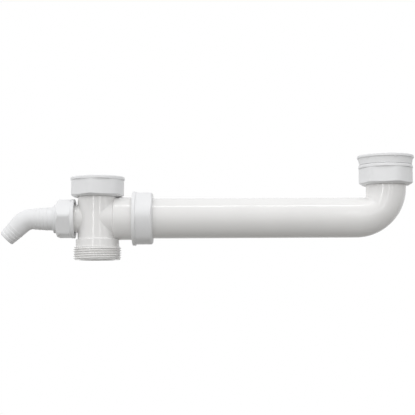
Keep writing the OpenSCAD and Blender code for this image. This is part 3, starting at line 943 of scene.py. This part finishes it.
def thread_sleeve(name, material, plain_r, ridge, back_r, low, high, x=0.0):
    """A thread between two heights over the pipe's axis, about an upright axis at x."""
    length = high - low
    columns, per_turn = 161, 16
    rows = int((length / thread_pitch + 1.2) * per_turn) + 2
    fade = 1.2
    mesh = grown(name, threads, {
        "Material": material, "Plain Radius": plain_r * MM, "Ridge Height": ridge * MM,
        "Back Radius": back_r * MM, "Pitch": thread_pitch * MM, "Length": length * MM,
        "Fade": fade * MM, "Columns": columns, "Rows": rows, "Rows Per Turn": per_turn})
    mesh.transform(Matrix.Translation((x * MM, 0, (low + axis_z) * MM)))
    return finish_mesh(name, mesh, 50)


give(swept_pipe(), GLOSS, "pipe", "gloss_pp", "swept_pipe")
give(union_nut("tee_nut_smooth", 0, tee_nut_z, seal_z - tee_nut_z, tube_r, 19.4), SATIN,
     "tee_nut", "satin_pp", "tee_inlet_nut")
give(union_nut("far_nut_smooth", far_x, far_nut_z, far_top_z - far_nut_z, pipe_r, 49), SATIN,
     "far_union", "satin_pp", "far_nut")
give(compression_nut(), SATIN, "tee", "satin_pp", "compression_nut")
give(nozzle_nut(), SATIN, "tee", "satin_pp", "nozzle_nut")
give(hose_nozzle(), SATIN, "nozzle", "satin_pp", "hose_nozzle")
give(riser_ring(), SATIN, "far_union", "satin_pp", "riser_ring")
give(riser_webs(webs, SATIN), SATIN, "far_union", "satin_pp")
give(thread_sleeve("tee_nut_thread", SATIN, female_r + 0.02, -thread_depth, female_r + 0.6,
                   seal_z, tee_nut_z + nut_h - lead), SATIN, "tee_nut", "satin_pp")
give(thread_sleeve("riser_thread", SATIN, female_r + 0.02, -thread_depth, female_r + 0.6,
                   riser_seal_z, head_top_z - lead, far_x), SATIN, "far_union", "satin_pp")

# The far washer keeps just clear of the pipe's flange, because it turns on it
give(flat_washer("tee_washer_soft", pipe_bore_r, flange_r, tee_face_z, seal_z, upright()),
     RUBBER, "tee", "seal_rubber", "tee_inlet_washer")
give(flat_washer("far_washer_soft", pipe_bore_r, flange_r, far_face_z + washer_gap, far_top_z,
                 upright(far_x)), RUBBER, "far_union", "seal_rubber", "far_washer")
give(flat_washer("riser_washer_soft", riser_bore_r, flange_r, riser_washer_lo.z - axis_z,
                 riser_washer_hi.z - axis_z, upright(far_x)), RUBBER,
     "far_union", "seal_rubber", "riser_washer")
give(flat_washer("nozzle_washer_soft", side_bore_r, side_flange_r, -side_washer_hi.x,
                 -side_washer_lo.x, along_side), RUBBER, "tee", "seal_rubber", "nozzle_washer")
give(flat_washer("slip_ring_soft", pipe_r + ring_fit, female_r - relief, ring_lo.x, ring_hi.x,
                 along_pipe), RING, "tee", "ring_pp", "slip_ring")
give(compression_seal(), RUBBER, "tee", "seal_rubber", "compression_seal")

collar_end_z = -28.0
give(tee(), GLOSS, "tee", "gloss_pp", "tee_body")
give(thread_sleeve("outlet_thread", GLOSS, root_r, thread_depth, male_r - 2.4,
                   -outlet_end + 0.01, collar_end_z), GLOSS, "tee", "gloss_pp")


# Light, floor and camera

# Camera, in metres and degrees; the frame's centre is over the tee's axis and the pipe's axis
CAMERA_DISTANCE = 1.1
CAMERA_DROP = 0.08
CAMERA_ROLL = -0.25
FRAME_WIDTH = 0.4137
FRAME_CENTRE = (0.1099, 0.0108)

# Light from the ground and the sky, how much more of it comes from the left and from the camera's
# side, the floor, and the lamps' places, sizes and power
GROUND, SKY_LOW, SKY_TOP, SKY_BLUE = 0.26, 0.95, 0.46, 1.01
MORE_LEFT, MORE_FRONT = 0.4, 0.34
FLOOR_COLOUR = (0.28, 0.275, 0.262)
FLOOR_GLOW = 0.55
LAMP_TARGET = (0.14, 0.0, 0.0)
LAMPS = [
    ("over_pipe", (0.14, -0.49, 1.25), (1.8, 0.08), 4.2),
    ("left_strip", (-0.76, -2.2, 0.45), (0.2, 0.9), 3.6),
    ("right_strip", (0.6, -1.8, 0.5), (0.12, 1.0), 2.4),
    ("near_strip", (0.5, -0.43, 0.11), (0.03, 0.26), 0.1),
]


def area_light(name, place, target, size, power):
    """A rectangular lamp that the camera doesn't see."""
    data = bpy.data.lights.new(name, "AREA")
    data.shape = "RECTANGLE"
    data.size, data.size_y = size
    data.energy = power
    obj = bpy.data.objects.new(name, data)
    obj.location = place
    obj.visible_camera = False
    obj.rotation_euler = (Vector(target) - Vector(place)).to_track_quat("-Z", "Y").to_euler()
    bpy.context.scene.collection.objects.link(obj)


def background_rays(tree):
    """1 for camera, glossy and transmission rays, which see the plain background."""
    path = tree.nodes.new("ShaderNodeLightPath")
    seen = path.outputs["Is Camera Ray"]
    for kind in ("Is Glossy Ray", "Is Transmission Ray"):
        more = tree.nodes.new("ShaderNodeMath")
        more.operation = "MAXIMUM"
        tree.links.new(seen, more.inputs[0])
        tree.links.new(path.outputs[kind], more.inputs[1])
        seen = more.outputs[0]
    return seen


def world():
    """Bright sky over a dim ground for the light; plain white for what the camera sees."""
    made = bpy.data.worlds.new("studio")
    made.use_nodes = True
    tree = made.node_tree
    fill = tree.nodes["Background"]
    fill.inputs["Strength"].default_value = 1.0
    direction = tree.nodes.new("ShaderNodeTexCoord")
    split = tree.nodes.new("ShaderNodeSeparateXYZ")
    tree.links.new(direction.outputs["Generated"], split.inputs[0])
    height = tree.nodes.new("ShaderNodeMapRange")
    height.inputs["From Min"].default_value = -1
    tree.links.new(split.outputs["Z"], height.inputs["Value"])
    sky = tree.nodes.new("ShaderNodeValToRGB")
    steps = [(0.0, GROUND), (0.47, GROUND), (0.53, SKY_LOW), (0.8, SKY_LOW), (1.0, SKY_TOP)]
    for k, (position, level) in enumerate(steps):
        element = sky.color_ramp.elements[k] if k < 2 else sky.color_ramp.elements.new(position)
        element.position = position
        element.color = (level, level, level * SKY_BLUE, 1)
    tree.links.new(height.outputs["Result"], sky.inputs["Fac"])
    tree.links.new(sky.outputs["Color"], fill.inputs["Color"])
    level = 1.0
    for axis, more in (("X", -MORE_LEFT), ("Y", -MORE_FRONT)):
        lean = tree.nodes.new("ShaderNodeMath")
        lean.operation = "MULTIPLY_ADD"
        tree.links.new(split.outputs[axis], lean.inputs[0])
        lean.inputs[1].default_value = more
        if isinstance(level, float):
            lean.inputs[2].default_value = level
        else:
            tree.links.new(level, lean.inputs[2])
        level = lean.outputs[0]
    tree.links.new(level, fill.inputs["Strength"])
    white = tree.nodes.new("ShaderNodeBackground")
    white.inputs["Color"].default_value = (1, 1, 1, 1)
    white.inputs["Strength"].default_value = 1.0
    mix = tree.nodes.new("ShaderNodeMixShader")
    tree.links.new(background_rays(tree), mix.inputs[0])
    tree.links.new(fill.outputs[0], mix.inputs[1])
    tree.links.new(white.outputs[0], mix.inputs[2])
    tree.links.new(mix.outputs[0], tree.nodes["World Output"].inputs["Surface"])
    bpy.context.scene.world = made


def floor():
    """Plain floor under the part and in front of it, out of the camera's frame."""
    mesh = bpy.data.meshes.new("floor")
    left, right, front, back, low = -2.6, 2.9, -3.2, 0.48, -0.28
    mesh.from_pydata([(left, front, low), (right, front, low), (right, back, low),
                      (left, back, low)], [], [(0, 1, 2, 3)])
    obj = bpy.data.objects.new("floor", mesh)
    bpy.context.scene.collection.objects.link(obj)
    material = bpy.data.materials.new("pale_floor")
    material.use_nodes = True
    shader = material.node_tree.nodes["Principled BSDF"]
    shader.inputs["Base Color"].default_value = (*FLOOR_COLOUR, 1)
    shader.inputs["Roughness"].default_value = 0.9
    tree = material.node_tree
    glow = tree.nodes.new("ShaderNodeEmission")
    glow.inputs["Strength"].default_value = FLOOR_GLOW
    unlit = tree.nodes.new("ShaderNodeEmission")
    unlit.inputs["Strength"].default_value = 0.0
    mix = tree.nodes.new("ShaderNodeMixShader")
    tree.links.new(background_rays(tree), mix.inputs[0])
    tree.links.new(unlit.outputs[0], mix.inputs[1])
    tree.links.new(glow.outputs[0], mix.inputs[2])
    add = tree.nodes.new("ShaderNodeAddShader")
    tree.links.new(shader.outputs[0], add.inputs[0])
    tree.links.new(mix.outputs[0], add.inputs[1])
    tree.links.new(add.outputs[0], tree.nodes["Material Output"].inputs["Surface"])
    mesh.materials.append(material)


def camera():
    """The photograph's view: from the front, a little below the pipe, rolled by a hair."""
    data = bpy.data.cameras.new("camera")
    data.sensor_width = 36
    data.lens = data.sensor_width * CAMERA_DISTANCE / FRAME_WIDTH
    obj = bpy.data.objects.new("camera", data)
    aim = Vector((FRAME_CENTRE[0], 0.0, axis_z * MM + FRAME_CENTRE[1]))
    obj.location = (FRAME_CENTRE[0], -CAMERA_DISTANCE, axis_z * MM - CAMERA_DROP)
    look = (aim - obj.location).to_track_quat("-Z", "Y")
    roll = Matrix.Rotation(math.radians(CAMERA_ROLL), 4, "Z")
    obj.rotation_euler = (look.to_matrix().to_4x4() @ roll).to_euler()
    bpy.context.scene.collection.objects.link(obj)
    bpy.context.scene.camera = obj


world()
floor()
camera()
for name, place, size, power in LAMPS:
    area_light(name, place, LAMP_TARGET, size, power)
bpy.context.scene.view_settings.view_transform = "Standard"
